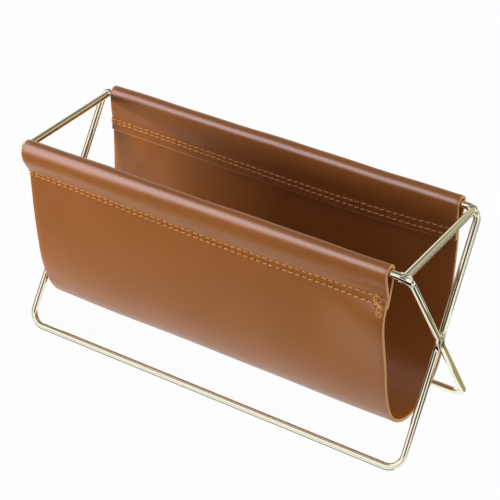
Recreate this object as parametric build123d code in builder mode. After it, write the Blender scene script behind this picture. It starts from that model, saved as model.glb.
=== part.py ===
from build123d import *
import os
from math import acos, atan2, cos, floor, hypot, pi, radians, sin, sqrt, tan

# Mail sorter: a leather sling hung between the upper rails of a bright wire frame.
# The frame is two bent wire loops, front and back, that touch at a waist at half height.
# X runs along the rails, Y from front to back and Z up.
# The origin is on the table, under the middle of the frame. All sizes are in millimetres.

# Wire frame
wire_diameter = 4.2
frame_length = 254.0         # between the wire axes of the left and right legs, at the feet
top_narrowing = 2.5          # by which each end of the upper rails stands in from the feet
rail_spacing = 80.0          # between the axes of the front and back rails, above and below
rail_rise = 124.0            # from the axes of the lower rails to those of the upper rails
top_bend_radius = 7.0        # on the wire's axis, like the other bends
foot_bend_radius = 9.0
waist_bend_radius = 10.0
waist_gap = 0.1              # between the two loops where they are welded
spreader_inset = 3.4         # from the corner of the upper rail to the axis of the spreader

# Welds
weld_gap = 0.05              # between a weld and the wires it joins
weld_leg = 1.0               # width of the bead around the end of a spreader
waist_bead_radius = 2.0
waist_bead_height = 4.2      # from the waist to the middle of the bead in each crotch

# Leather sling
leather_thickness = 1.8
sling_play = 4.5             # how far the sling can slide between the welds of the two spreaders
sling_rest_gap = 0.5         # from the left welds to the sling, as it hangs
rail_clearance = 0.7         # inside the tunnels that the rails pass through
seam_half_width = 39.9       # from the middle of the trough to the outer face at the seams
wall_lean = 2.5              # degrees that the walls lean inwards on their way down
haunch_radius = 80.0         # bend between the wall and the bottom of the trough
haunch_turn = 20.0           # degrees that this bend turns through
floor_gap = 10.0             # from the table to the lowest point of the sling

# Seams that close the tunnels
seam_drop = 21.5             # from the top of the hem to the upper row of stitches
seam_lead = 2.0              # from the pinch under the tunnel to the upper row
seam_row_spacing = 3.0
flap_margin = 4.0            # from the lower row to the cut edge of the turned-in flap
seam_end_margin = 3.0        # from the sling's end to the first stitch
stitch_pitch = 4.0
stitch_length = 3.2
thread_width = 0.8
thread_height = 0.4          # how far a stitch stands out of the leather

# Places that follow from these sizes
wire_radius = wire_diameter / 2
half_spacing = rail_spacing / 2
half_length = frame_length / 2
half_top = half_length - top_narrowing
half_waist = half_length - top_narrowing / 2
half_rise = rail_rise / 2
foot_rail_z = wire_radius
waist_z = foot_rail_z + half_rise
top_rail_z = foot_rail_z + rail_rise

# A leg is the straight line from a rail's corner to the round of the waist, in the sloping plane of the end.
end_rise = hypot(half_rise, top_narrowing / 2)
waist_centre = wire_radius + waist_gap / 2 + waist_bend_radius
corner_reach = half_spacing - waist_centre
leg_lean = pi - atan2(end_rise, corner_reach) - acos(waist_bend_radius / hypot(corner_reach, end_rise))
waist_corner = half_spacing - end_rise * tan(leg_lean)

# Near its corner the rail already bends down, and the spreader meets it there.
leg_draw = atan2(half_spacing - waist_corner, half_rise)
leg_splay = atan2(top_narrowing / 2, hypot(half_spacing - waist_corner, half_rise))
bend_reach = top_bend_radius * tan((pi / 2 - leg_splay) / 2)
spreader_x = half_top - spreader_inset
into_bend = max(0.0, bend_reach - spreader_inset)
bend_drop = top_bend_radius - sqrt(top_bend_radius**2 - into_bend**2)
spreader_z = top_rail_z - bend_drop * cos(leg_draw)
spreader_seat = half_spacing - bend_drop * sin(leg_draw)

# A weld sits on a wire with a hairline gap, and the sling lies between the welds of the spreaders.
seat_radius = wire_radius + weld_gap
weld_radius = seat_radius + weld_leg
weld_start = spreader_seat - wire_radius / 2
sling_room = 2 * (spreader_x - weld_radius)
sling_length = sling_room - sling_play
sling_start = sling_rest_gap - sling_room / 2
sling_middle = sling_start + sling_length / 2


def loop_wire(side, diameter):
    """Closed wire loop with a top rail, a foot rail and waisted legs; side is -1 in front, +1 behind."""
    rail_y = side * half_spacing
    waist_y = side * waist_corner
    corners = [
        (-half_top, rail_y, top_rail_z),
        (half_top, rail_y, top_rail_z),
        (half_waist, waist_y, waist_z),
        (half_length, rail_y, foot_rail_z),
        (-half_length, rail_y, foot_rail_z),
        (-half_waist, waist_y, waist_z),
    ]
    upper_radii = [top_bend_radius, top_bend_radius, waist_bend_radius]
    lower_radii = [foot_bend_radius, foot_bend_radius, waist_bend_radius]
    with BuildPart() as loop:
        with BuildLine() as axis:
            FilletPolyline(*corners, radius=upper_radii + lower_radii, close=True)
        with BuildSketch(Plane(origin=axis.line @ 0, z_dir=axis.line % 0)):
            Circle(diameter / 2)
        sweep()
    return loop.part


front_loop = loop_wire(-1, wire_diameter)
back_loop = loop_wire(1, wire_diameter)

# Slightly fatter loops, front and back, to cut back what is welded onto the wires
seats = {-1: loop_wire(-1, 2 * seat_radius), 1: loop_wire(1, 2 * seat_radius)}


def spreader(side):
    """Straight wire across the top; its ends are cut to the round of the rails. side is -1 left, +1 right."""
    with BuildPart() as wire:
        with BuildSketch(Plane.XZ):
            with Locations((side * spreader_x, spreader_z)):
                Circle(wire_radius)
        extrude(amount=spreader_seat, both=True)
        add(seats[-1], mode=Mode.SUBTRACT)
        add(seats[1], mode=Mode.SUBTRACT)
    return wire.part


left_spreader = spreader(-1)
right_spreader = spreader(1)


def spreader_weld(side, end):
    """Bead between a spreader's end and the rail; side is -1 left, +1 right, and end is -1 front, +1 back."""
    bead_plane = Plane(
        origin=(side * spreader_x, end * weld_start, spreader_z),
        x_dir=(1, 0, 0),
        z_dir=(0, -end, 0),
    )
    with BuildPart() as bead:
        with BuildSketch(bead_plane):
            Circle(weld_radius)
            Circle(seat_radius, mode=Mode.SUBTRACT)
        extrude(amount=weld_start)
        add(loop_wire(end, 2 * weld_radius), mode=Mode.INTERSECT)
        add(seats[end], mode=Mode.SUBTRACT)
    return bead.part


def waist_weld(side):
    """Two beads, in the upper and the lower crotch of one waist; side is -1 left, +1 right."""
    with BuildPart() as beads:
        with Locations(
            (side * half_waist, 0, waist_z + waist_bead_height),
            (side * half_waist, 0, waist_z - waist_bead_height),
        ):
            Sphere(waist_bead_radius)
        add(seats[-1], mode=Mode.SUBTRACT)
        add(seats[1], mode=Mode.SUBTRACT)
    return beads.part


# Sling section, written for the back half: u is the distance from the middle of the trough, z the height.
lean = radians(wall_lean)
haunch_end = lean + radians(haunch_turn)
tunnel_radius = wire_radius + rail_clearance
hem_radius = tunnel_radius + leather_thickness
hem_top_z = top_rail_z + hem_radius
pinch_z = hem_top_z - seam_drop + seam_lead
flap_length = seam_lead + seam_row_spacing + flap_margin


def wall_point(along, depth):
    """Point on the wall: along is measured down from the pinch, depth inwards from the outer face."""
    u = seam_half_width - along * sin(lean) - depth * cos(lean)
    z = pinch_z - along * cos(lean) + depth * sin(lean)
    return (u, z)


# The wall ends where the haunch and the round bottom bring the sling to its gap above the table.
rise_share = (1 - sin(haunch_end)) / cos(haunch_end)
haunch_fall = haunch_radius * (sin(haunch_end) - sin(lean))
haunch_draw = haunch_radius * (cos(lean) - cos(haunch_end))
wall_reach = seam_half_width - pinch_z * tan(lean) - haunch_draw
wall_foot_z = (floor_gap + haunch_fall + rise_share * wall_reach) / (1 - rise_share * tan(lean))
wall_foot_u = seam_half_width - (pinch_z - wall_foot_z) * tan(lean)
wall_length = (pinch_z - wall_foot_z) / cos(lean)
haunch_centre = (wall_foot_u - haunch_radius * cos(lean), wall_foot_z + haunch_radius * sin(lean))
bottom_radius = (wall_foot_u - haunch_draw) / cos(haunch_end)
bottom_centre = (0, floor_gap + bottom_radius)


def trough_face(start, depth):
    """Wall, haunch and half of the bottom, at a depth from the outer face, as lines of the open sketch."""
    Line(wall_point(start, depth), wall_point(wall_length, depth))
    CenterArc(haunch_centre, haunch_radius - depth, -wall_lean, -haunch_turn)
    CenterArc(bottom_centre, bottom_radius - depth, -wall_lean - haunch_turn, wall_lean + haunch_turn - 90)


def hem_round(radius, outer_foot, inner_foot):
    """Teardrop over the rail, from one foot over the top to the other, as lines of the open sketch."""
    rail = (half_spacing, top_rail_z)
    CenterArc(rail, radius, 0, 90)
    CenterArc(rail, radius, 90, 90)
    TangentArc((half_spacing + radius, top_rail_z), outer_foot, tangent=(0, -1))
    TangentArc((half_spacing - radius, top_rail_z), inner_foot, tangent=(0, -1))


with BuildPart() as sling:
    with BuildSketch(Plane.YZ.offset(sling_start)):
        with BuildLine() as outline:
            trough_face(0, 0)
            hem_round(hem_radius, wall_point(0, 0), wall_point(0, 2 * leather_thickness))
            Line(wall_point(0, 2 * leather_thickness), wall_point(flap_length, 2 * leather_thickness))
            Line(wall_point(flap_length, 2 * leather_thickness), wall_point(flap_length, leather_thickness))
            trough_face(flap_length, leather_thickness)
            mirror(about=Plane.YZ)
        make_face()
        with BuildLine() as tunnel:
            pinch = wall_point(0, leather_thickness)
            hem_round(tunnel_radius, pinch, pinch)
        make_face(mode=Mode.SUBTRACT)
        with BuildLine() as front_tunnel:
            mirror(tunnel.line, about=Plane.YZ)
        make_face(mode=Mode.SUBTRACT)
    extrude(amount=sling_length)

stitch_count = floor((sling_length - 2 * seam_end_margin - stitch_length) / stitch_pitch) + 1


def stitch_plane(side, along, depth, outward):
    """Plane on a face of the seam, in the middle of the sling; side is -1 front, +1 back."""
    u, z = wall_point(along, depth)
    normal = (0, outward * side * cos(lean), -outward * sin(lean))
    return Plane(origin=(sling_middle, side * u, z), x_dir=(1, 0, 0), z_dir=normal)


def thread(face):
    """The stitches of one thread along one face of a seam."""
    with BuildPart() as row:
        with BuildSketch(face):
            with GridLocations(stitch_pitch, 1, stitch_count, 1):
                SlotOverall(stitch_length, thread_width)
        extrude(amount=thread_height)
    return row.part


pieces = {
    "front_loop": front_loop,
    "back_loop": back_loop,
    "left_spreader": left_spreader,
    "right_spreader": right_spreader,
    "front_left_spreader_weld": spreader_weld(-1, -1),
    "back_left_spreader_weld": spreader_weld(-1, 1),
    "front_right_spreader_weld": spreader_weld(1, -1),
    "back_right_spreader_weld": spreader_weld(1, 1),
    "left_waist_weld": waist_weld(-1),
    "right_waist_weld": waist_weld(1),
    "sling": sling.part,
}

# Each row is a lockstitch: a top thread on the outer face and a bobbin thread on the flap inside.
rows = {"upper": seam_lead, "lower": seam_lead + seam_row_spacing}
for side_name, side in {"front": -1, "back": 1}.items():
    for row_name, along in rows.items():
        outer_face = stitch_plane(side, along, 0, 1)
        flap_face = stitch_plane(side, along, 2 * leather_thickness, -1)
        pieces[f"{side_name}_{row_name}_top_thread"] = thread(outer_face)
        pieces[f"{side_name}_{row_name}_bobbin_thread"] = thread(flap_face)

os.makedirs("parts", exist_ok=True)
for label, piece in pieces.items():
    piece.label = label
    export_step(piece, f"parts/{label}.step")
    print(label, len(piece.solids()), "solids", round(piece.volume, 1), "mm3")
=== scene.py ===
# %% [markdown]
# # Mail sorter: a leather sling on a bright wire frame
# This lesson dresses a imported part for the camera. The part gives two bodies: the welded wire frame, and
# the sling, which can slide a few millimetres along the rails. Everything here is in the part's own frame:
# X along the rails, Y from front to back, Z up, with the table at zero. Blender works in metres, so sizes
# that are written in millimetres are multiplied by MM.

# %% Load the part
import random
from math import acos, atan2, cos, hypot, pi, radians, sin, sqrt, tan

import bpy
import numpy as np
from mathutils import Matrix, Vector


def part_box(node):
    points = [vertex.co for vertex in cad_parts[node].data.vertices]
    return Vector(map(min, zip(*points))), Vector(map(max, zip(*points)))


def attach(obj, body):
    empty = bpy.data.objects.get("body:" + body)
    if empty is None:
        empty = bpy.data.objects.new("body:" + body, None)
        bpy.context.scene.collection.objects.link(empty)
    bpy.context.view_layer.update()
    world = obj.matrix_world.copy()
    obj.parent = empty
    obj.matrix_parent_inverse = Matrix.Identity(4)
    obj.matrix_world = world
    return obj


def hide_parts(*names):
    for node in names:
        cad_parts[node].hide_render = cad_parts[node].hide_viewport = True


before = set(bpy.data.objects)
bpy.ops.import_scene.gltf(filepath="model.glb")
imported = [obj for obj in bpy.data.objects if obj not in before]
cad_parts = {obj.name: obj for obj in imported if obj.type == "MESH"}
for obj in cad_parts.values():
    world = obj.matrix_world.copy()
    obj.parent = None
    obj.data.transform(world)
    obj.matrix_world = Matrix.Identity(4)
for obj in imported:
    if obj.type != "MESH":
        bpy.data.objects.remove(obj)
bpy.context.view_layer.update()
MM = 0.001

# %% [markdown]
# ## The camera
# The photograph was taken from the front right and above, with a long lens, so the rails hardly converge.
# The angles were found by fitting a camera to the corners of the wire. The camera is turned a little about
# its own axis as well, because the photograph is not quite level.

# %% Camera
scene = bpy.context.scene
azimuth, elevation, roll = radians(32.28), radians(33.09), radians(0.61)
target = Vector((5.0, 0, 79.3)) * MM
distance = 917.2 * MM

back = Vector((sin(azimuth) * cos(elevation), -cos(azimuth) * cos(elevation), sin(elevation)))
right = (-back).cross(Vector((0, 0, 1))).normalized()
up = right.cross(-back)
across = right * cos(roll) + up * sin(roll)
upright = up * cos(roll) - right * sin(roll)

bpy.ops.object.camera_add()
camera = bpy.context.object
camera.name = "photo_camera"
facing = Matrix((across, upright, back)).transposed().to_4x4()
camera.matrix_world = Matrix.Translation(target + back * distance) @ facing
camera.data.sensor_width = 36.0
camera.data.lens = 117.0
scene.camera = camera
print("camera at", [round(v, 3) for v in camera.location])

# %% [markdown]
# ## Colours and nodes
# Colours are written as they look on a screen and turned to linear light by one function. Another small
# function adds a node, sets its values and links it, so that each finish below reads as a list of its
# layers.

# %% Helpers for finishes
def linear(colour):
    """A screen colour such as #a0673c as linear light."""
    channels = [int(colour[i:i + 2], 16) / 255 for i in (1, 3, 5)]
    return [c / 12.92 if c <= 0.04045 else ((c + 0.055) / 1.055) ** 2.4 for c in channels] + [1.0]


def add_node(tree, kind, inputs=None, **settings):
    """One node with its settings; an input is a plain value, or the socket that it is linked from."""
    node = tree.nodes.new(kind)
    for name, value in settings.items():
        setattr(node, name, value)
    for name, value in (inputs or {}).items():
        if isinstance(value, bpy.types.NodeSocket):
            tree.links.new(value, node.inputs[name])
        else:
            node.inputs[name].default_value = value
    return node


def new_finish(name):
    """An empty node material, with its tree and its surface socket."""
    finish = bpy.data.materials.new(name)
    finish.use_nodes = True
    finish.node_tree.nodes.clear()
    output = add_node(finish.node_tree, "ShaderNodeOutputMaterial")
    return finish, finish.node_tree, output.inputs["Surface"]


mid_brown = "#a0673c"
print(mid_brown, "is", [round(channel, 3) for channel in linear(mid_brown)[:3]], "in linear light")

# %% [markdown]
# ## Studio
# A plain white table in a white surround, as in a catalogue. Both are white only where they are seen,
# directly or in a reflection, so their white adds no light to the sorter. A small share of the table's own
# lit surface stays in what is seen, and with it a faint soft shadow.

# %% Table
def shows_white(tree):
    """A socket that is 1 for rays from the camera, off a gloss or through glass, and 0 for all others."""
    rays = add_node(tree, "ShaderNodeLightPath")
    seen = add_node(tree, "ShaderNodeMath", {
        0: rays.outputs["Is Camera Ray"], 1: rays.outputs["Is Glossy Ray"],
    })
    seen = add_node(tree, "ShaderNodeMath", {
        0: seen.outputs[0], 1: rays.outputs["Is Transmission Ray"],
    }, use_clamp=True)
    return seen.outputs[0]


table_size, white_amount = 12.0, 0.97
bpy.ops.object.select_all(action="DESELECT")
bpy.ops.mesh.primitive_plane_add(size=table_size, location=(0, 0, 0))
table_top = bpy.context.object
table_top.name = "table_top"

table_finish, tree, surface = new_finish("white_table")
white_share = add_node(tree, "ShaderNodeMath", {0: shows_white(tree), 1: white_amount}, operation="MULTIPLY")
matt = add_node(tree, "ShaderNodeBsdfDiffuse", {"Color": linear("#dcdcdc")})
glow = add_node(tree, "ShaderNodeEmission", {"Color": linear("#ffffff"), "Strength": 1.0})
mixed = add_node(tree, "ShaderNodeMixShader", {
    0: white_share.outputs[0], 1: matt.outputs[0], 2: glow.outputs[0],
})
tree.links.new(mixed.outputs[0], surface)
table_top.data.materials.append(table_finish)
print("table of", table_size, "m, with", white_amount, "of white where it is seen")

# %% Surround
surround_light = 0.12
world = bpy.data.worlds.new("white_surround")
scene.world = world
world.use_nodes = True
tree = world.node_tree
tree.nodes.clear()
level = add_node(tree, "ShaderNodeMapRange", {
    "Value": shows_white(tree), "To Min": surround_light, "To Max": 1.0,
})
surround = add_node(tree, "ShaderNodeBackground", {"Color": linear("#ffffff"), "Strength": level.outputs[0]})
add_node(tree, "ShaderNodeOutputWorld", {"Surface": surround.outputs[0]})
print("the surround lights the sorter at", surround_light, "of white")

# %% [markdown]
# ## Flags
# Polished wire shows whatever stands around it, and in an all-white room it would look like plastic. So toned
# cards stand around the set where only reflections see them, as a photographer sets up flags. More cards lie
# on the table. They grade its reflection on the leather, and draw dark edges along the foot wires; four of
# them are painted shadow of the sorter on the table, which only reflections see.

# %% Flags
sorter_middle = Vector((0, 0, 70 * MM))


def flag(name, place, width, height, tone, upright=True):
    """A card that only reflections see, in the tone that it shows there; an upright one faces the sorter."""
    bpy.ops.object.select_all(action="DESELECT")
    aim = sorter_middle - Vector(place)
    turn = aim.to_track_quat("Z", "Y").to_euler() if upright else (0, 0, 0)
    bpy.ops.mesh.primitive_plane_add(size=1.0, location=place, rotation=turn)
    card = bpy.context.object
    card.name = name
    card.scale = (width, height, 1.0)
    bpy.ops.object.transform_apply(location=True, rotation=True, scale=True)
    for ray in ("camera", "diffuse", "transmission", "volume_scatter", "shadow"):
        setattr(card, "visible_" + ray, False)
    finish, tree, surface = new_finish(name + "_card")
    shown = add_node(tree, "ShaderNodeEmission", {"Color": linear(tone), "Strength": 1.0})
    tree.links.new(shown.outputs[0], surface)
    card.data.materials.append(finish)


flag("overhead_flag", (0, 0.3, 1.6), 3.2, 2.6, "#7c7a76")
flag("camera_side_flag", (0.70, -1.12, 0.78), 1.2, 0.9, "#484436")
flag("left_flag", (-1.15, -0.35, 0.22), 1.1, 0.5, "#6a6654")
flag("back_right_flag", (1.05, 1.05, 0.12), 1.3, 0.6, "#787562")
flag("right_flag", (1.45, 0.25, 0.10), 0.6, 0.4, "#4c4836")
flag("back_flag", (0.3, 1.7, 1.15), 3.0, 1.3, "#c4bf9f")
# These lie on the table.
flag("front_table_flag", (0.1, -0.745, 0.002), 2.4, 1.28, "#1a1c18", upright=False)
flag("right_table_flag", (0.37, 0.0, 0.002), 0.42, 0.08, "#565240", upright=False)
# These four are painted shadow of the sorter on the table, under and behind it and along the front foot wire,
# seen only in reflections.
flag("back_table_shadow_flag", (0.29, 0.26, 0.0002), 0.26, 0.30, "#44412e", upright=False)
flag("back_foot_shade", (0.166, 0.066, 0.0002), 0.07, 0.088, "#a39b7a", upright=False)
flag("under_sling_shadow_flag", (0, -0.0785, 0.0003), 0.6, 0.053, "#bcbcb4", upright=False)
flag("front_foot_shade", (0, -0.0417, 0.0002), 0.25, 0.0022, "#5a5642", upright=False)
print("twelve flags, six of them on the table")

# %% [markdown]
# ## Lights
# Four softboxes light the sorter from all sides. They are kept out of reflections, where each would show as
# a bright square. The leather's gleam comes from a wide strip of its own, seen only in reflections, so that
# it can be set without changing the light.

# %% Softboxes
def softbox(name, place, width, height, power):
    """A rectangular area light that faces the middle of the sorter."""
    bpy.ops.object.light_add(type="AREA", location=place)
    light = bpy.context.object
    light.name = name
    aim = sorter_middle - Vector(place)
    light.rotation_euler = aim.to_track_quat("-Z", "Y").to_euler()
    light.data.shape = "RECTANGLE"
    light.data.size, light.data.size_y = width, height
    light.data.energy = power
    light.visible_camera = False
    return light


key_light = softbox("front_left_softbox", (-0.75, -0.70, 0.14), 0.5, 0.28, 10.9)
fill_light = softbox("overhead_softbox", (0.15, 0.0, 1.35), 1.1, 0.6, 6.6)
side_light = softbox("right_softbox", (0.95, -0.20, 0.30), 0.5, 0.5, 1.5)
back_light = softbox("back_softbox", (0.30, 0.95, 0.30), 0.6, 0.4, 6.0)
gleam_light = softbox("gleam_strip", (-0.50, -0.74, 0.71), 1.3, 0.78, 12.4)
gleam_light.data.color = linear("#d2e5ff")[:3]
for light in (key_light, fill_light, side_light, back_light):
    light.visible_glossy = False
gleam_light.visible_diffuse = False
print("four softboxes and a strip of gleam")

# %% [markdown]
# ## Sizes
# The same sizes as in the part, in millimetres. They are repeated here because every piece below is
# modelled where the part's solid is, and the leather has to follow the same section.

# %% Sizes of the real object
wire_radius = 2.1
half_length, half_top, half_waist, half_spacing = 127.0, 124.5, 125.75, 40.0
foot_rail_z, waist_z, top_rail_z = 2.1, 64.1, 126.1
top_bend, foot_bend, waist_bend = 7.0, 9.0, 10.0
spreader_inset, half_waist_gap = 3.4, 0.05
spreader_x = half_top - spreader_inset
waist_centre = wire_radius + half_waist_gap + waist_bend
corner_reach = half_spacing - waist_centre
half_rise = waist_z - foot_rail_z
end_rise = hypot(half_rise, half_length - half_waist)
leg_lean = pi - atan2(end_rise, corner_reach) - acos(waist_bend / hypot(corner_reach, end_rise))
waist_corner = half_spacing - end_rise * tan(leg_lean)
leg_draw = atan2(half_spacing - waist_corner, half_rise)
leg_splay = atan2(half_length - half_waist, hypot(half_spacing - waist_corner, half_rise))
bend_reach = top_bend * tan((pi / 2 - leg_splay) / 2)
print("legs lean", round(leg_lean * 180 / pi, 2), "degrees and splay", round(leg_splay * 180 / pi, 2))


# %% [markdown]
# ## Wire loops
# Each half of the frame is one length of drawn wire, bent to a closed loop and welded shut. A curve with a
# round bevel would do, but a smith works run by run, and so does this: a circle is extruded along each
# straight run and spun round the centre of each bend, so every bend is a true arc. The last ring is merged
# with the first.

# %% Bend a loop of wire
wire_sides, bend_step = 28, radians(6)


def only(piece):
    """Makes one object the selected and active one."""
    bpy.ops.object.select_all(action="DESELECT")
    piece.select_set(True)
    bpy.context.view_layer.objects.active = piece


def face_outwards(piece):
    """Turns all faces of a modelled piece outwards and shades it smooth."""
    only(piece)
    bpy.ops.object.mode_set(mode="EDIT")
    bpy.ops.mesh.select_all(action="SELECT")
    bpy.ops.mesh.normals_make_consistent(inside=False)
    bpy.ops.object.mode_set(mode="OBJECT")
    bpy.ops.object.shade_smooth()


def bent_loop(name, corners, bends):
    """A closed loop of wire through these corners, starting in the middle of its first run."""
    corners = [Vector(corner) * MM for corner in corners]
    start = (corners[0] + corners[1]) / 2
    bpy.ops.object.select_all(action="DESELECT")
    heading = (corners[1] - corners[0]).normalized()
    bpy.ops.mesh.primitive_circle_add(
        vertices=wire_sides, radius=wire_radius * MM, location=start,
        rotation=heading.to_track_quat("Z", "Y").to_euler(),
    )
    loop = bpy.context.object
    loop.name = name
    bpy.ops.object.transform_apply(location=True, rotation=True, scale=True)
    bpy.ops.object.mode_set(mode="EDIT")
    bpy.ops.mesh.select_all(action="SELECT")
    here = start
    count = len(corners)
    for i in range(1, count + 1):
        corner, after = corners[i % count], corners[(i + 1) % count]
        radius = bends[i % count] * MM
        ahead = (after - corner).normalized()
        turn = heading.angle(ahead)
        bend_start = corner - heading * radius * tan(turn / 2)
        bpy.ops.mesh.extrude_region_move(TRANSFORM_OT_translate={"value": bend_start - here})
        towards = (ahead - heading * heading.dot(ahead)).normalized()
        # Without a window, spin turns against the right hand.
        bpy.ops.mesh.spin(
            steps=max(8, round(turn / bend_step)), angle=-turn, use_auto_merge=False,
            center=bend_start + towards * radius, axis=heading.cross(ahead).normalized(),
        )
        here = corner + ahead * radius * tan(turn / 2)
        heading = ahead
    bpy.ops.mesh.extrude_region_move(TRANSFORM_OT_translate={"value": start - here})
    bpy.ops.mesh.select_all(action="SELECT")
    bpy.ops.mesh.remove_doubles(threshold=0.01 * MM)
    bpy.ops.object.mode_set(mode="OBJECT")
    face_outwards(loop)
    return loop


wire_pieces = []
for side, node in ((-1, "front_loop"), (1, "back_loop")):
    rail_y, waist_y = side * half_spacing, side * waist_corner
    loop = bent_loop(
        node + "_wire",
        [
            (-half_top, rail_y, top_rail_z), (half_top, rail_y, top_rail_z),
            (half_waist, waist_y, waist_z), (half_length, rail_y, foot_rail_z),
            (-half_length, rail_y, foot_rail_z), (-half_waist, waist_y, waist_z),
        ],
        [top_bend, top_bend, waist_bend, foot_bend, foot_bend, waist_bend],
    )
    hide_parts(node)
    wire_pieces.append(loop)
    low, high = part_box(node)
    span = np.array([vertex.co for vertex in loop.data.vertices])
    off = np.abs(np.concatenate([span.min(0) - low, span.max(0) - high])).max() / MM
    print(loop.name, len(loop.data.polygons), "faces, off the part by", round(off, 4), "mm")

# %% [markdown]
# ## Spreaders
# A straight wire across each end keeps the upper rails apart. Its ends are welded to the rails where these
# start to bend, so each end simply runs into the rail. A cylinder would do, but a circle that is extruded
# across keeps to the way in which the loops were made.

# %% Spreaders
def rail_axis(x):
    """Y and Z of the back rail's axis at a distance from the middle, also where it bends down to the leg."""
    into = min(max(0.0, x - half_top + bend_reach), top_bend)
    drop = top_bend - sqrt(top_bend**2 - into**2)
    return half_spacing - drop * sin(leg_draw), top_rail_z - drop * cos(leg_draw)


spreader_seat, spreader_z = rail_axis(spreader_x)

for side, node in ((-1, "left_spreader"), (1, "right_spreader")):
    bpy.ops.object.select_all(action="DESELECT")
    bpy.ops.mesh.primitive_circle_add(
        vertices=wire_sides, radius=wire_radius * MM, fill_type="NGON",
        location=Vector((side * spreader_x, -spreader_seat, spreader_z)) * MM, rotation=(-pi / 2, 0, 0),
    )
    spreader = bpy.context.object
    spreader.name = node + "_wire"
    bpy.ops.object.transform_apply(location=True, rotation=True, scale=True)
    bpy.ops.object.mode_set(mode="EDIT")
    bpy.ops.mesh.select_all(action="SELECT")
    bpy.ops.mesh.extrude_region_move(TRANSFORM_OT_translate={"value": (0, 2 * spreader_seat * MM, 0)})
    bpy.ops.mesh.select_all(action="SELECT")
    bpy.ops.mesh.normals_make_consistent(inside=False)
    bpy.ops.object.mode_set(mode="OBJECT")
    bpy.ops.object.shade_smooth_by_angle(angle=radians(40))
    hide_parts(node)
    wire_pieces.append(spreader)
    print(spreader.name, len(spreader.data.polygons), "faces")


# %% [markdown]
# ## Welds
# The bright plating runs over the welds, so they look like soft fillets of the wire itself. Around a
# spreader's end the fillet is a ring that hugs the round of the rail: a torus, with each part of the ring
# moved along the spreader until it lies on the rail. Joining the wires with a boolean and a bevel could
# give the same fillet, but seldom cleanly where two rounds of one size meet.

# %% Fillets around the ends of the spreaders
fillet_radius, fillet_spread, fillet_wrap = 1.4, 0.9, 0.93
# Above and below the rail the ring is pressed flat, most of all below.
pressed_above, pressed_below = 0.4, 0.1
for side, side_name in ((-1, "left"), (1, "right")):
    for end, end_name in ((-1, "front"), (1, "back")):
        bpy.ops.object.select_all(action="DESELECT")
        bpy.ops.mesh.primitive_torus_add(
            major_segments=48, minor_segments=16, major_radius=wire_radius * MM,
            minor_radius=fillet_radius * MM, rotation=(pi / 2, 0, 0),
        )
        fillet = bpy.context.object
        fillet.name = f"{end_name}_{side_name}_spreader_fillet"
        bpy.ops.object.transform_apply(location=True, rotation=True, scale=True)
        for vertex in fillet.data.vertices:
            x, y, z = vertex.co / MM
            axis_y, axis_z = rail_axis(spreader_x + side * x)
            within = max(min(z, wire_radius), -wire_radius)
            z = within + (pressed_above if z > 0 else pressed_below) * (z - within)
            above = min(fillet_wrap * abs(spreader_z + z - axis_z), wire_radius)
            seat = axis_y - sqrt(max(wire_radius**2 - above**2, 0.0))
            y = seat + y * fillet_spread
            vertex.co = Vector((side * spreader_x + x, end * y, spreader_z + z)) * MM
        face_outwards(fillet)
        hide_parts(f"{end_name}_{side_name}_spreader_weld")
        wire_pieces.append(fillet)
print("four fillets at the ends of the spreaders")

# %% [markdown]
# ## Waists
# Where the two loops touch at the waist, weld fills the crotch above and the crotch below. The upper bead
# is a sphere, pressed wide and hollowed like a saddle between the two wires, and the lower one is its
# mirror image.

# %% Beads in the crotches of the waists
bead_radius, bead_lift, bead_hollow = 2.0, 4.0, 0.22
bead_wide, bead_long, bead_tall = 0.95, 1.05, 0.8
for side, side_name in ((-1, "left"), (1, "right")):
    bpy.ops.object.select_all(action="DESELECT")
    bpy.ops.mesh.primitive_uv_sphere_add(segments=20, ring_count=12, radius=bead_radius * MM)
    bead = bpy.context.object
    bead.name = f"{side_name}_waist_bead"
    for vertex in bead.data.vertices:
        x, y, z = vertex.co / MM
        z = waist_z + bead_lift + z * bead_tall + bead_hollow * y * y
        vertex.co = Vector((side * half_waist + x * bead_wide, y * bead_long, z)) * MM
    only(bead)
    bpy.ops.object.mode_set(mode="EDIT")
    bpy.ops.mesh.select_all(action="SELECT")
    bpy.ops.mesh.duplicate()
    bpy.ops.transform.resize(value=(1, 1, -1), center_override=(0, 0, waist_z * MM))
    bpy.ops.object.mode_set(mode="OBJECT")
    face_outwards(bead)
    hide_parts(f"{side_name}_waist_weld")
    wire_pieces.append(bead)
    print(bead.name, len(bead.data.polygons), "faces")

# %% [markdown]
# ## Polished gold-toned plating
# Wire of this kind is steel or brass with a thin, bright, pale gold plating. The eye sees a mirror: white
# stripes of the studio, dark stripes of the flags, and very little colour of its own. A faint unevenness of
# the polish keeps the stripes from being equally sharp all over.

# %% Finish of the wire
plating, tree, surface = new_finish("polished_pale_gold_plating")
place = add_node(tree, "ShaderNodeTexCoord")
# Hand polishing leaves soft patches about 6 mm long.
patches = add_node(tree, "ShaderNodeTexNoise", {
    "Vector": place.outputs["Object"], "Scale": 1 / (6 * MM), "Detail": 2.0,
})
gloss = add_node(tree, "ShaderNodeMapRange", {"Value": patches.outputs["Fac"], "To Min": 0.05, "To Max": 0.1})
metal = add_node(tree, "ShaderNodeBsdfPrincipled", {
    "Base Color": linear("#f5f0da"), "Metallic": 1.0, "Roughness": gloss.outputs[0],
})
tree.links.new(metal.outputs[0], surface)

# The strip of gleam would draw a glaring line on the wire, so the wire is kept out of it.
out_of_glare = bpy.data.collections.new("out_of_glare")
gleam_light.light_linking.receiver_collection = out_of_glare
for piece in wire_pieces:
    out_of_glare.objects.link(piece)
for linked in out_of_glare.collection_objects:
    linked.light_linking.link_state = "EXCLUDE"

for piece in wire_pieces:
    piece.data.materials.clear()
    piece.data.materials.append(plating)
    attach(piece, "frame")
print(len(wire_pieces), "pieces of wire have the finish", plating.name)

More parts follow.
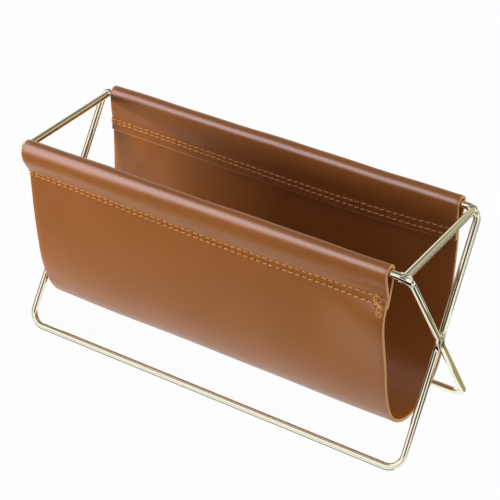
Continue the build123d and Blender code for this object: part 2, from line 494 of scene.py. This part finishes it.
# %% [markdown]
# ## The section of the sling
# Leather is a sheet that bends but hardly stretches, so it is modelled from its flat cut: every point of
# the cut keeps its distance along the sheet. The section runs from the cut edge of the front flap up inside
# the hem, over the rail, down the wall, round the bottom, and up again to the back flap. It is drawn for
# one half, as points along the middle of the leather's thickness.

# %% Draw half of the section
leather = 1.8
lean, haunch_turn = radians(2.5), radians(20.0)
seam_half_width, floor_gap, haunch_radius = 39.9, 10.0, 80.0
sling_left, sling_length, flap_length = -117.45, 231.4, 9.0
hem_play, layer_gap = 0.7, 0.05
# The upper row of stitches is this far below the top of the hem, and this far below the pinch.
seam_drop, seam_lead = 21.5, 2.0
hem_radius = wire_radius + hem_play + leather / 2
pinch_z = top_rail_z + hem_radius + leather / 2 - seam_drop + seam_lead
haunch_end = lean + haunch_turn
rise_share = (1 - sin(haunch_end)) / cos(haunch_end)
haunch_fall = haunch_radius * (sin(haunch_end) - sin(lean))
haunch_draw = haunch_radius * (cos(lean) - cos(haunch_end))
wall_reach = seam_half_width - pinch_z * tan(lean) - haunch_draw
wall_foot_z = (floor_gap + haunch_fall + rise_share * wall_reach) / (1 - rise_share * tan(lean))
wall_foot_u = seam_half_width - (pinch_z - wall_foot_z) * tan(lean)
wall_length = (pinch_z - wall_foot_z) / cos(lean)
bottom_radius = (wall_foot_u - haunch_draw) / cos(haunch_end)


def wall_point(down, depth):
    """A point of the wall: down from the pinch, and depth inwards from the outer face."""
    return np.array([
        seam_half_width - down * sin(lean) - depth * cos(lean),
        pinch_z - down * cos(lean) + depth * sin(lean),
    ])


def round_run(centre, radius, first, last, steps):
    """Points of an arc between two angles."""
    angles = np.linspace(first, last, steps)
    return np.stack([centre[0] + radius * np.cos(angles), centre[1] + radius * np.sin(angles)], 1)


def hem_side(top, foot, steps):
    """Points of the arc that leaves the hem's side straight down and ends at the pinch."""
    du, dz = foot - top
    radius = (du * du + dz * dz) / (2 * du)
    swing = atan2(-dz, radius - du) if du > 0 else atan2(-dz, du - radius)
    angles = np.linspace(0, swing, steps)
    return np.stack([top[0] + radius * (1 - np.cos(angles)), top[1] - abs(radius) * np.sin(angles)], 1)


rail = np.array([half_spacing, top_rail_z])
flap_depth, wall_depth = 1.5 * leather + layer_gap, leather / 2
haunch_middle = haunch_radius - wall_depth
bottom_middle = bottom_radius - wall_depth
haunch_centre = (wall_foot_u - haunch_radius * cos(lean), wall_foot_z + haunch_radius * sin(lean))
runs = [
    np.linspace(wall_point(flap_length, flap_depth), wall_point(0, flap_depth), 40),
    hem_side(rail - (hem_radius, 0), wall_point(0, flap_depth), 80)[::-1],
    round_run(rail, hem_radius, pi, 0, 80),
    hem_side(rail + (hem_radius, 0), wall_point(0, wall_depth), 80),
    np.linspace(wall_point(0, wall_depth), wall_point(wall_length, wall_depth), 120),
    round_run(haunch_centre, haunch_middle, -lean, -haunch_end, 60),
    round_run((0, floor_gap + bottom_radius), bottom_middle, -haunch_end, -pi / 2, 80),
]
half_section = np.concatenate([runs[0]] + [run[1:] for run in runs[1:]])
half_run = np.concatenate([[0], np.cumsum(np.hypot(*np.diff(half_section, axis=0).T))])
run_ends = np.cumsum([np.hypot(*np.diff(run, axis=0).T).sum() for run in runs])
half_cut = half_run[-1]
flap_end, hem_inside, hem_outside, pinch_run = run_ends[:4]
print("the cut is", sling_length, "mm by", round(2 * half_cut, 1), "mm")
print("the seam's pinch is", round(pinch_run, 1), "mm from its edge")

# %% [markdown]
# ## The sling
# The sheet starts as a flat grid, with its lines closer together at the hems and the seams, where the
# leather bends sharply. A simulated cloth could be dropped over the rails instead, but leather this stiff
# hardly drapes, and its section is known. So each point of the grid is given its place on the cut, and is
# later moved from there onto the section, as the sheet is laid over the rails.

# %% Grid of the flat cut
sling_right = sling_left + sling_length
sling_middle = sling_left + sling_length / 2
stitch_pitch, stitch_count = 4.0, 56
first_stitch = sling_middle - stitch_pitch * (stitch_count - 1) / 2

# Lines along the sheet: one at each stitch and one between two stitches, but none too close to a cut edge.
edge_margin = 0.4
columns = np.arange(-1, 2 * stitch_count) * stitch_pitch / 2 + first_stitch
columns = columns[(columns > sling_left + edge_margin) & (columns < sling_right - edge_margin)]
columns = np.concatenate([[sling_left], columns, [sling_right]])

# Lines across it, as steps of each run of the section; on the wall they crowd towards the seam.
steps = [9, 10, 14, 13, 32, 10, 15]
wall_run, crowding = 4, 1.35
lengths = np.diff(np.concatenate([[0], run_ends]))
half_rows = [0.0]
for i, step_count in enumerate(steps):
    share = np.arange(1, step_count + 1) / step_count
    if i == wall_run:
        share = share**crowding
    half_rows += list(run_ends[i] - lengths[i] + lengths[i] * share)
rows = np.array(half_rows + [2 * half_cut - run for run in half_rows[-2::-1]])

bpy.ops.object.select_all(action="DESELECT")
bpy.ops.mesh.primitive_grid_add(
    x_subdivisions=len(columns) - 1, y_subdivisions=len(rows) - 1, size=1.0, calc_uvs=True,
)
sling = bpy.context.object
sling.name = "leather_sling"
places = np.array([vertex.co for vertex in sling.data.vertices])
column_of = np.rint((places[:, 0] + 0.5) * (len(columns) - 1)).astype(int)
row_of = np.rint((places[:, 1] + 0.5) * (len(rows) - 1)).astype(int)
print("grid of", len(columns), "by", len(rows), "lines,", len(places), "points")

# %% [markdown]
# ## How the leather lies
# On its section alone the sheet would look ruled. The real leather shows a few moves of its own: the seam
# bows, the free corner at the front right curls out, the hem is fuller here and there, and the walls are
# not quite flat. Sculpting could give these too, but a function of the place on the cut can be asked again,
# and that is how the stitches will find the face of the leather.

# %% Places on the section
row_gap, row_spread, row_bend = 2.8, 1.04, 0.23


def smooth_step(value):
    """0 below 0, 1 above 1, and a soft rise between them."""
    value = np.clip(value, 0, 1)
    return value * value * (3 - 2 * value)


def section_at(run):
    """Side, distance from the nearer edge, u, z and outward normal of the section, along the whole cut."""
    run = np.asarray(run, float)
    side = np.where(run <= half_cut, -1.0, 1.0)
    half = np.where(run <= half_cut, run, 2 * half_cut - run)
    u = np.interp(half, half_run, half_section[:, 0])
    z = np.interp(half, half_run, half_section[:, 1])
    nearby = 0.4
    ahead, behind = np.clip(half + nearby, 0, half_cut), np.clip(half - nearby, 0, half_cut)
    du = np.interp(ahead, half_run, half_section[:, 0]) - np.interp(behind, half_run, half_section[:, 0])
    dz = np.interp(ahead, half_run, half_section[:, 1]) - np.interp(behind, half_run, half_section[:, 1])
    size = np.hypot(du, dz)
    # In the middle of the bottom, where the two halves meet, the sheet faces straight down.
    lowest = half > half_cut - 0.01
    normal_u, normal_z = np.where(lowest, 0.0, -dz / size), np.where(lowest, -1.0, du / size)
    return side, half, u, z, normal_u, normal_z


def lower_row(x):
    """How far the lower row of stitches is from the pinch: the two rows part towards the right."""
    return seam_lead + row_gap + row_spread * x / 100 + row_bend * (x / 100) ** 2


print("the rows are", round(lower_row(sling_left) - seam_lead, 2), "mm apart at the left and",
      round(lower_row(sling_right) - seam_lead, 2), "mm at the right")

# %% Moves of the leather
# How far and where the leather moves, in millimetres. The bow is a curve of x / 100.
bow_curve, bow_reach, bow_fade = [1.16, 1.82, -1.13, -0.87], 50, 35
curl_below, curl_up, curl_down, curl_start, curl_length = 17, 13, 25, 60, 54
curl_front, curl_back = 5.6, 0.8
full_front, full_slope, full_back = 0.75, 0.0055, 0.3
tuck_up, tuck_down = 6, 1.8
wander_slow, wander_quick = 0.3, 0.15
swell_slow, swell_quick = 0.15, 0.08
longer_front, longer_back = 2.0, 0.3


def sheet_points(x, run, depth=0.0):
    """Points of the laid sheet in millimetres, and the outward normal; depth is outwards from its middle."""
    side, half, u, z, normal_u, normal_z = section_at(run)
    x = np.asarray(x, float)
    # The two layers of a hem move together, so a point of the flap takes the place of the wall behind it.
    level = np.where(half < hem_inside, pinch_run + flap_end - half, half)
    below = level - pinch_run
    # The seam was sewn in a slight bow, nearer to the fold at both ends than in the middle.
    bow = np.polyval(bow_curve, x / 100)
    near_seam = smooth_step((z - pinch_z + bow_reach) / bow_fade)
    near_seam = near_seam * smooth_step((top_rail_z - z) / (top_rail_z - pinch_z))
    z = z + bow * near_seam
    # The free end at the front right curls out, most of all some way below the pinch.
    curl = np.exp(-((below - curl_below) / np.where(below < curl_below, curl_up, curl_down)) ** 2)
    curl = curl * smooth_step((x - curl_start) / curl_length) ** 1.5
    push = np.where(side < 0, curl_front, curl_back) * curl * smooth_step((level - hem_outside - 4) / 10)
    # The front hem is fuller towards the left, below the rail.
    outer_hem = smooth_step((half - hem_outside + 3) / 5) * smooth_step((pinch_run - half) / 9)
    push = push + outer_hem * np.where(side < 0, full_front - full_slope * x, full_back)
    # The upper row of stitches holds the foot of the hem, so the fold runs on to it, past the pinch.
    tuck = np.clip((level - pinch_run + tuck_up) / tuck_up, 0, 1)
    tuck = tuck * np.clip((pinch_run + tuck_down - level) / tuck_down, 0, 1)
    push = push + tuck * (half >= hem_outside)
    # The walls wander by a few tenths of a millimetre.
    wander = wander_slow * np.sin(x / 23 + 1.3 * side) * np.sin(below / 31 + side)
    wander = wander + wander_quick * np.sin(x / 13 - below / 19)
    push = push + wander * smooth_step((below - 6) / 20) * smooth_step((half_cut - half) / 20)
    # The hem is a little fuller in some places than in others.
    in_hem = smooth_step((half - hem_inside + 2) / 6) * smooth_step((pinch_run - 3 - half) / 6)
    swell = in_hem * (swell_slow * np.sin(x / 17 + side) + swell_quick * np.sin(x / 7.3 + 2 * side))
    u, z = u + push + swell * normal_u, z + swell * normal_z
    # The outer layer at the front was cut a little longer, to the left.
    outer = smooth_step((half - hem_inside - 1) / 5) * smooth_step((half_cut - 40 - half) / 60)
    reach = np.where(side < 0, longer_front, longer_back) * outer * (sling_right - x) / sling_length
    laid = np.stack([x - reach, side * (u + depth * normal_u), z + depth * normal_z], -1)
    return laid, np.stack([0 * x, side * normal_u, normal_z], -1)


run_of = rows[row_of]
points, normals = sheet_points(columns[column_of], run_of)
print("sheet laid from", points.min(0).round(1), "to", points.max(0).round(1), "mm")

# %% [markdown]
# ## Seams and thickness
# Each stitch draws the outer layer in a little, most of all at its ends, so the seam looks quilted. The
# grid has a line at each stitch and between each two, so moving its points is enough. Solidify then gives
# the sheet its real thickness, and a small bevel softens the cut edges. The flat cut is kept as the sheet's
# own UV map.

# %% Draw in the seams and give the sheet its thickness
draw_width, draw_along, draw_at_holes = 0.9, 0.12, 0.16
half_of = np.where(run_of <= half_cut, run_of, 2 * half_cut - run_of)
dimple = np.zeros(len(points))
for row_down in (seam_lead, lower_row(columns[column_of])):
    away = (half_of - pinch_run - row_down) / draw_width
    hole = 0.5 - 0.5 * np.cos(2 * pi * (columns[column_of] - first_stitch) / stitch_pitch)
    dimple += np.exp(-away * away) * (draw_along + draw_at_holes * hole)
points -= normals * dimple[:, None]
for vertex, point in zip(sling.data.vertices, points):
    vertex.co = Vector(point) * MM

cut = sling.data.uv_layers.active.data
for corner in cut:
    corner.uv = (corner.uv[0] * sling_length * MM, corner.uv[1] * 2 * half_cut * MM)
sling.data.uv_layers.active.name = "flat_cut_in_metres"

only(sling)
thickness = sling.modifiers.new("thickness", "SOLIDIFY")
thickness.thickness = leather * MM
thickness.offset = 0.0
thickness.use_even_offset = True
thickness.material_offset_rim = 1
soft_edges = sling.modifiers.new("soft_edges", "BEVEL")
soft_edges.width = 0.4 * MM
soft_edges.segments = 2
soft_edges.limit_method = "ANGLE"
soft_edges.angle_limit = radians(60)
soft_edges.material = 1
bpy.ops.object.shade_smooth()
print("lowest point of the sling", round(points[:, 2].min() - leather / 2, 2), "mm above the table")

# %% [markdown]
# ## Smooth waxed leather
# The outside is full-grain leather, dyed cognac brown and waxed smooth. What the eye sees is a satin
# surface: a broad, soft sheen on the round hem and a cooler gleam low on the wall, over a warm brown that
# varies a little, with pores that are almost too fine to see. A photograph of a hide could be wrapped on,
# but its light would be baked in, so the colour and the grain are built from noise at the hide's own
# scales.

# %% Finish of the leather
leather_finish, tree, surface = new_finish("waxed_cognac_leather")
place = add_node(tree, "ShaderNodeTexCoord")
# Dye takes unevenly over patches of about 45 mm, and again over about 7 mm.
clouds = add_node(tree, "ShaderNodeTexNoise", {
    "Vector": place.outputs["Object"], "Scale": 1 / (45 * MM), "Detail": 4.0,
})
mottle = add_node(tree, "ShaderNodeTexNoise", {
    "Vector": place.outputs["Object"], "Scale": 1 / (7 * MM), "Detail": 3.0,
})
dye = add_node(tree, "ShaderNodeValToRGB", {"Fac": clouds.outputs["Fac"]})
dye.color_ramp.elements[0].position, dye.color_ramp.elements[1].position = 0.3, 0.7
dye.color_ramp.elements[0].color = linear("#90541e")
dye.color_ramp.elements[1].color = linear("#975921")
tint = add_node(tree, "ShaderNodeMapRange", {"Value": mottle.outputs["Fac"], "To Min": 0.97, "To Max": 1.03})
brown = add_node(tree, "ShaderNodeHueSaturation", {"Color": dye.outputs["Color"], "Value": tint.outputs[0]})
# Pores are about 0.5 mm apart in the hide; they are drawn at 0.9 mm, the finest that shows here.
pores = add_node(tree, "ShaderNodeTexVoronoi", {
    "Vector": place.outputs["Object"], "Scale": 1 / (0.9 * MM),
}, feature="SMOOTH_F1")
# Creases between them run over about 3 mm.
creases = add_node(tree, "ShaderNodeTexNoise", {
    "Vector": place.outputs["Object"], "Scale": 1 / (3 * MM), "Detail": 5.0,
})
height = add_node(tree, "ShaderNodeMath", {
    0: creases.outputs["Fac"], 1: pores.outputs["Distance"],
}, operation="ADD")
grain = add_node(tree, "ShaderNodeBump", {
    "Height": height.outputs[0], "Strength": 0.12, "Distance": 0.1 * MM,
})
wax = add_node(tree, "ShaderNodeMapRange", {"Value": mottle.outputs["Fac"], "To Min": 0.31, "To Max": 0.39})
skin = add_node(tree, "ShaderNodeBsdfPrincipled", {
    "Base Color": brown.outputs[0], "Roughness": wax.outputs[0], "IOR": 1.5, "Specular IOR Level": 0.95,
    "Normal": grain.outputs[0],
})
tree.links.new(skin.outputs[0], surface)
print("finish", leather_finish.name, "of", len(tree.nodes), "nodes")

# %% [markdown]
# ## Cut edge
# A knife leaves the paler core of the hide open along the edge, with short fibres in it. Its colour is made
# paler still, as painted light on the end faces, which the lamps light little. It is a finish of its own,
# which Solidify and the bevel have put on the rim, so it follows the edge exactly.

# %% Finish of the cut edge
edge_finish, tree, surface = new_finish("cut_leather_edge")
place = add_node(tree, "ShaderNodeTexCoord")
# Fibres of the hide show as flecks of about 0.6 mm.
fibres = add_node(tree, "ShaderNodeTexNoise", {
    "Vector": place.outputs["Object"], "Scale": 1 / (0.6 * MM), "Detail": 3.0,
})
flecks_and_painted_light = add_node(tree, "ShaderNodeValToRGB", {"Fac": fibres.outputs["Fac"]})
flecks_and_painted_light.color_ramp.elements[0].position, flecks_and_painted_light.color_ramp.elements[1].position = 0.3, 0.7
# Both colours are paler than the core itself: the core's own colour with painted light for the end faces.
flecks_and_painted_light.color_ramp.elements[0].color = linear("#d89657")
flecks_and_painted_light.color_ramp.elements[1].color = linear("#f4bb80")
fuzz = add_node(tree, "ShaderNodeBump", {
    "Height": fibres.outputs["Fac"], "Strength": 0.3, "Distance": 0.1 * MM,
})
core = add_node(tree, "ShaderNodeBsdfPrincipled", {
    "Base Color": flecks_and_painted_light.outputs[0], "Roughness": 0.7, "Normal": fuzz.outputs[0],
})
tree.links.new(core.outputs[0], surface)

sling.data.materials.clear()
sling.data.materials.append(leather_finish)
sling.data.materials.append(edge_finish)
only(sling)
bpy.ops.object.modifier_apply(modifier="thickness")
bpy.ops.object.modifier_apply(modifier="soft_edges")
print("sling of", len(sling.data.polygons), "faces, with", [finish.name for finish in sling.data.materials])

# %% [markdown]
# ## Stitches
# Each hem is closed by two rows of lockstitch. One stitch is modelled once: a short length of thread whose
# ends dip into the leather, each into a dark needle hole. A circle is extruded from ring to ring, and each
# ring is sized and lifted as it is made. A curve with a bevel could give it too, but not the flat, tapered
# ends.

# %% Model one stitch
thread_radius = 0.42
# Each ring has its place along the stitch, its lift off the leather and its share of the thread's radius.
ring_places = [
    (-1.85, -0.3, 0.55), (-1.5, 0.06, 0.9), (-0.7, 0.2, 1.0),
    (0.7, 0.2, 1.0), (1.5, 0.06, 0.9), (1.85, -0.3, 0.55),
]
bpy.ops.object.select_all(action="DESELECT")
bpy.ops.mesh.primitive_circle_add(
    vertices=8, radius=thread_radius * MM, fill_type="NGON", rotation=(0, pi / 2, 0),
)
stitch = bpy.context.object
stitch.name = "one_stitch"
bpy.ops.object.transform_apply(location=True, rotation=True, scale=True)
bpy.ops.object.mode_set(mode="EDIT")
bpy.ops.mesh.select_all(action="SELECT")
x_now, lift_now, size_now = 0.0, 0.0, 1.0
for i, (x, lift, size) in enumerate(ring_places):
    move = Vector((x - x_now, 0, lift - lift_now)) * MM
    if i == 0:
        bpy.ops.transform.translate(value=move)
    else:
        bpy.ops.mesh.extrude_region_move(TRANSFORM_OT_translate={"value": move})
    growth = size / size_now
    bpy.ops.transform.resize(value=(1, growth, growth), center_override=Vector((x, 0, lift)) * MM)
    x_now, lift_now, size_now = x, lift, size
bpy.ops.object.mode_set(mode="OBJECT")
face_outwards(stitch)
print("one stitch has", len(stitch.data.polygons), "faces")

# %% [markdown]
# ## Twisted thread
# Sewing thread for leather is polyester, twisted from a few strands and faintly glossy. From here a strand is
# only a slanted light and dark band, so a wave pattern gives its relief, and its colour with painted shade in
# the grooves between the strands.

# %% Finish of the thread
# One band of a wave pattern is this wide, in metres, at a scale of 1.
wave_band = 0.314
thread_finish, tree, surface = new_finish("twisted_polyester_thread")
place = add_node(tree, "ShaderNodeTexCoord")
# The strands of the thread cross it about every 0.7 mm.
slanted = add_node(tree, "ShaderNodeMapping", {
    "Vector": place.outputs["Object"], "Rotation": (0, radians(35), 0),
})
strands = add_node(tree, "ShaderNodeTexWave", {
    "Vector": slanted.outputs[0], "Scale": wave_band / (0.7 * MM), "Distortion": 1.0,
})
# The ramp is the thread's own colour, darkened towards one end as painted shade between the strands.
thread_colour_and_strand_shade = add_node(tree, "ShaderNodeValToRGB", {"Fac": strands.outputs["Fac"]})
thread_colour_and_strand_shade.color_ramp.elements[0].color = linear("#ab6d33")
thread_colour_and_strand_shade.color_ramp.elements[1].color = linear("#e0a35c")
twist = add_node(tree, "ShaderNodeBump", {
    "Height": strands.outputs["Fac"], "Strength": 0.4, "Distance": 0.1 * MM,
})
yarn = add_node(tree, "ShaderNodeBsdfPrincipled", {
    "Base Color": thread_colour_and_strand_shade.outputs[0], "Roughness": 0.6, "Specular IOR Level": 0.3, "Normal": twist.outputs[0],
})
tree.links.new(yarn.outputs[0], surface)
stitch.data.materials.clear()
stitch.data.materials.append(thread_finish)
print("finish", thread_finish.name, "of", len(tree.nodes), "nodes")

# %% [markdown]
# ## Needle holes
# The needle leaves a small hole where each end of a stitch goes in. Cutting real holes would need a far finer
# sheet, so each is a small disc of painted shade, joined to the end of the stitch before it is copied.

# %% Needle holes
hole_radius, hole_place, hole_lift = 0.42, 1.9, 0.12
painted_hole_shade, tree, surface = new_finish("shaded_needle_hole")
# The disc is painted shade, because the inside of a hole lies in shadow.
shade = add_node(tree, "ShaderNodeBsdfDiffuse", {"Color": linear("#82491f")})
tree.links.new(shade.outputs[0], surface)
for end in (-1, 1):
    bpy.ops.object.select_all(action="DESELECT")
    bpy.ops.mesh.primitive_circle_add(
        vertices=10, radius=hole_radius * MM, fill_type="NGON",
        location=(end * hole_place * MM, 0, hole_lift * MM),
    )
    hole = bpy.context.object
    bpy.ops.object.transform_apply(location=True, rotation=True, scale=True)
    hole.data.materials.append(painted_hole_shade)
    stitch.select_set(True)
    bpy.context.view_layer.objects.active = stitch
    bpy.ops.object.join()
print("stitch and holes have", len(stitch.data.polygons), "faces")

# %% [markdown]
# ## Rows of stitches
# A row is sewn as the machine sews it: copies of the stitch follow one another at the pitch, each laid on
# the face of the sheet and turned by a slightly different slant. An array modifier would be quicker, but
# its copies would all be alike, and would not follow the bow of the seam.

# %% Sew the rows
thread_sink, pulled_tight, tight_from, tight_over = 0.1, 0.16, 40, 150
least_slant, most_slant, stray = 3, 9, 0.08


def set_stitch(x, run, slant, stretch=1.0):
    """One copy of the stitch on the face of the sheet that shows, turned by its slant."""
    # Towards the left the thread was pulled tighter, and lies deeper.
    depth = leather / 2 - thread_sink - pulled_tight * smooth_step((tight_from - x) / tight_over)
    point, normal = sheet_points(np.array([x]), np.array([run]), depth)
    ahead, _ = sheet_points(np.array([x + 0.5]), np.array([run]), depth)
    lift = Vector(normal[0])
    heading = Vector(ahead[0] - point[0]).normalized()
    heading.rotate(Matrix.Rotation(slant, 3, lift))
    aside = lift.cross(heading).normalized()
    copy = stitch.copy()
    copy.data = stitch.data.copy()
    scene.collection.objects.link(copy)
    turn = Matrix((heading * stretch, aside, lift)).transposed().to_4x4()
    copy.data.transform(Matrix.Translation(Vector(point[0]) * MM) @ turn)
    return copy


def joined(name, copies):
    """One object from several copies."""
    bpy.ops.object.select_all(action="DESELECT")
    for copy in copies:
        copy.select_set(True)
    bpy.context.view_layer.objects.active = copies[0]
    bpy.ops.object.join()
    copies[0].name = name
    return copies[0]


random.seed(11)
thread_pieces = []
for side_name in ("front", "back"):
    for row_name in ("upper", "lower"):
        for thread_name in ("top", "bobbin"):
            copies = []
            for i in range(-1, stitch_count):
                x = first_stitch + i * stitch_pitch
                row_down = seam_lead if row_name == "upper" else lower_row(x)
                # On the flap the same row lies before the pinch, as far from it as on the wall.
                run = pinch_run + row_down if thread_name == "top" else flap_end - row_down
                run = run if side_name == "front" else 2 * half_cut - run
                slant = radians(random.uniform(least_slant, most_slant))
                copies.append(set_stitch(x, run + random.uniform(-stray, stray), slant))
            row = joined(f"{side_name}_{row_name}_{thread_name}_stitches", copies)
            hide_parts(f"{side_name}_{row_name}_{thread_name}_thread")
            thread_pieces.append(row)
            print(row.name, len(row.data.polygons), "faces")

# %% [markdown]
# ## Back-tack
# At the right end of the front seam the machine was run back and forth to lock the thread, which leaves an
# untidy tangle of loops across both rows. A curve could be drawn for each loop, but a thin ring that is set
# on the face of the sheet point by point follows its curl. Short stitches at all angles fill the tangle
# between the loops.

# %% Back-tack at the front right
loop_thread, tack_stitches = 0.27, 26


def set_loop(x, down, half_wide, half_tall, lift):
    """A loose loop of thread that lies on the front wall, down from the pinch."""
    bpy.ops.object.select_all(action="DESELECT")
    bpy.ops.mesh.primitive_torus_add(
        major_segments=20, minor_segments=6, major_radius=1.0, minor_radius=loop_thread / half_wide,
    )
    loop = bpy.context.object
    local = np.array([vertex.co for vertex in loop.data.vertices])
    skew = random.uniform(-0.25, 0.25)
    laid, _ = sheet_points(
        x + half_wide * local[:, 0] + skew * half_tall * local[:, 1],
        pinch_run + down + half_tall * local[:, 1],
        leather / 2 + lift + half_wide * local[:, 2],
    )
    for vertex, point in zip(loop.data.vertices, laid):
        vertex.co = Vector(point) * MM
    loop.data.materials.append(thread_finish)
    face_outwards(loop)
    return loop


random.seed(5)
tangle = [
    set_loop(x, down, half_wide, half_tall, lift) for x, down, half_wide, half_tall, lift in (
        (110.9, 9.6, 1.9, 2.6, 0.35), (110.2, 8.6, 1.3, 2.2, 0.15), (108.8, 6.4, 1.2, 1.0, 0.15),
        (110.8, 5.6, 0.9, 1.5, 0.25), (107.6, 4.4, 1.0, 0.8, 0.15),
    )
]
# The tangle drifts to the right on its way down: its start, drift and stray along and down.
tack_x, drift_x, stray_x = 106.6, 4.2, 1.2
tack_down, drift_down, stray_down = 2.6, 8.4, 1.6
for i in range(tack_stitches):
    share = i / (tack_stitches - 1)
    x = tack_x + drift_x * share + random.uniform(-stray_x, stray_x)
    down = tack_down + drift_down * share + random.uniform(-stray_down, stray_down)
    slant = radians(random.uniform(-85, 85))
    tangle.append(set_stitch(x, pinch_run + down, slant, random.uniform(0.4, 0.75)))
back_tack = joined("front_back_tack", tangle)
thread_pieces.append(back_tack)
bpy.data.objects.remove(stitch)
for piece in thread_pieces:
    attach(piece, "sling")
print(len(thread_pieces), "pieces of thread")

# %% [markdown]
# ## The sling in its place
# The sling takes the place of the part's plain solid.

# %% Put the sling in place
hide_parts("sling")
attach(sling, "sling")
scene.view_settings.view_transform = "Standard"
